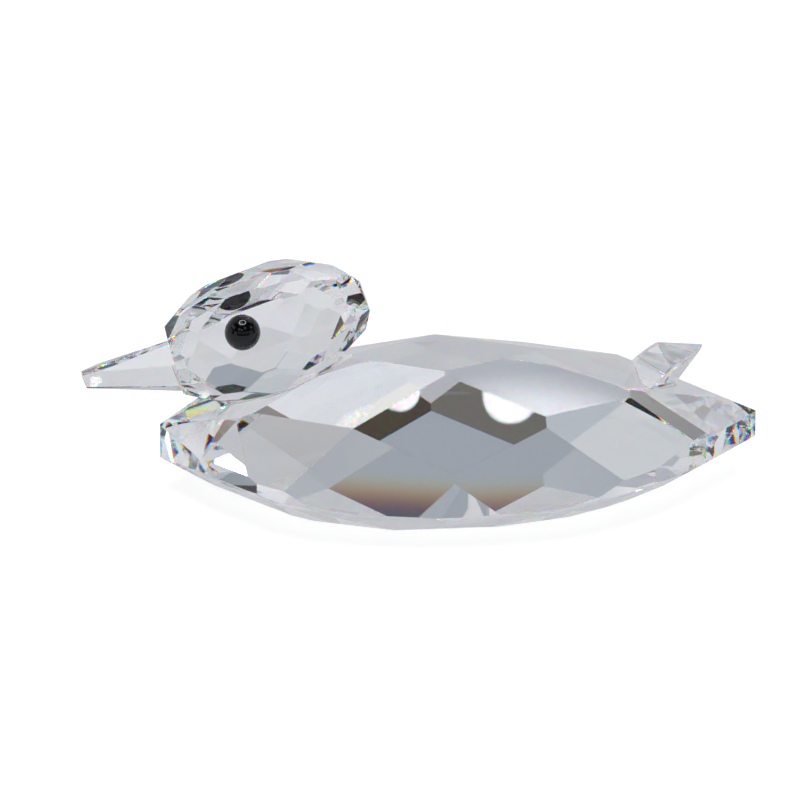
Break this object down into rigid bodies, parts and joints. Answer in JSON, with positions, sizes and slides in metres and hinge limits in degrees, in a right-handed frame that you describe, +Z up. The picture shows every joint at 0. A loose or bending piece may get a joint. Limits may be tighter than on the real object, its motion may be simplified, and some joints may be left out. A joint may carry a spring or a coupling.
{
  "type": "crystal glass duck figurine",
  "caption": "Faceted clear glass duck figurine swimming low, with a leaning egg-shaped head, tapered beak, black bead eyes and a small upturned tail.",
  "frame": {"origin": "on the flat resting facet under the body, midway between the two flanks, below the middle of the back", "axes": "-X towards the beak, +X towards the tail, +Z up, the duck's left flank on -Y"},
  "size_m": [0.0414, 0.0224, 0.0145],
  "materials": {
    "body_glass": "polished lead-type crystal, clear",
    "head_glass": "polished lead-type crystal, clear",
    "beak_glass": "polished lead-type crystal, clear",
    "tail_glass": "polished lead-type crystal, clear",
    "eye_jet": "polished opaque black glass",
    "bond": "clear hardened adhesive with a faint yellow tint and fine bubbles"
  },
  "bodies": {
    "root": {"body_crystal": "body_glass", "head_crystal": "head_glass", "beak_crystal": "beak_glass", "tail_crystal": "tail_glass", "eye_left": "eye_jet", "eye_right": "eye_jet", "head_bond": "bond", "beak_bond": "bond", "tail_bond": "bond", "eye_bond_left": "bond", "eye_bond_right": "bond"}
  },
  "joints": []
}
